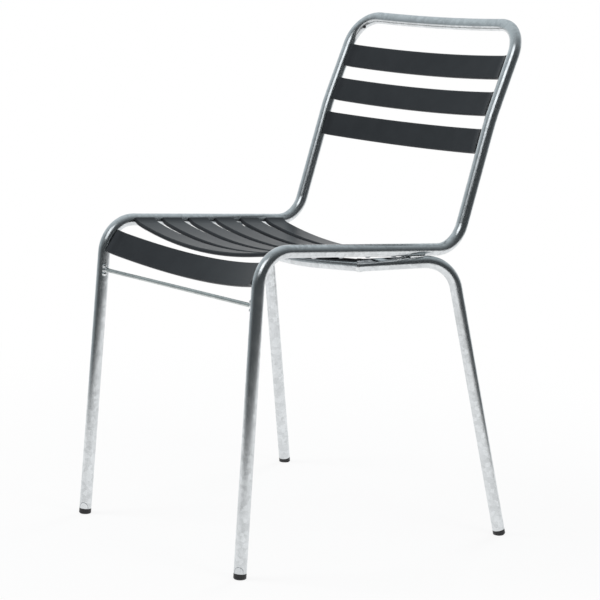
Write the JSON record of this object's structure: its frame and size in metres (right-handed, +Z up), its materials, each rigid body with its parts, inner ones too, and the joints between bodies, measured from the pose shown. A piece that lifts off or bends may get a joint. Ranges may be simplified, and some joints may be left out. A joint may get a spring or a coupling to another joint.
{
  "type": "metal bistro chair",
  "caption": "Armless chair with a bent galvanised steel tube frame, splayed rear legs and dished dark slats across the seat and back.",
  "frame": {"origin": "on the floor, below the middle of the chair's bounding box", "axes": "+Z up, -Y towards where the sitter faces, +X towards the sitter's left"},
  "size_m": [0.5188, 0.5426, 0.7503],
  "materials": {
    "galvanised_tube": "hot-dip galvanised, faintly mottled",
    "galvanised_weld": "hot-dip galvanised weld bead",
    "galvanised_lug": "hot-dip galvanised",
    "slat_coating": "satin anthracite powder coat",
    "foot_plug": "moulded black plastic"
  },
  "bodies": {
    "root": {"main_frame_tube": "galvanised_tube", "rear_leg_tube_left": "galvanised_tube", "rear_leg_tube_right": "galvanised_tube", "rear_cross_tube": "galvanised_tube", "front_spreader_bar": "galvanised_tube", "spreader_welds": "galvanised_weld", "cross_tube_welds": "galvanised_weld", "rail_welds": "galvanised_weld", "front_foot_plugs": "foot_plug", "rear_foot_plugs": "foot_plug", "front_slat": "slat_coating", "seat_slat_1": "slat_coating", "seat_slat_2": "slat_coating", "seat_slat_3": "slat_coating", "seat_slat_4": "slat_coating", "seat_slat_5": "slat_coating", "seat_slat_6": "slat_coating", "back_slat_1": "slat_coating", "back_slat_2": "slat_coating", "back_slat_3": "slat_coating", "front_lugs_left": "galvanised_lug", "front_lugs_right": "galvanised_lug", "seat_lugs_left": "galvanised_lug", "seat_lugs_right": "galvanised_lug", "back_lugs_left": "galvanised_lug", "back_lugs_right": "galvanised_lug"}
  },
  "joints": []
}
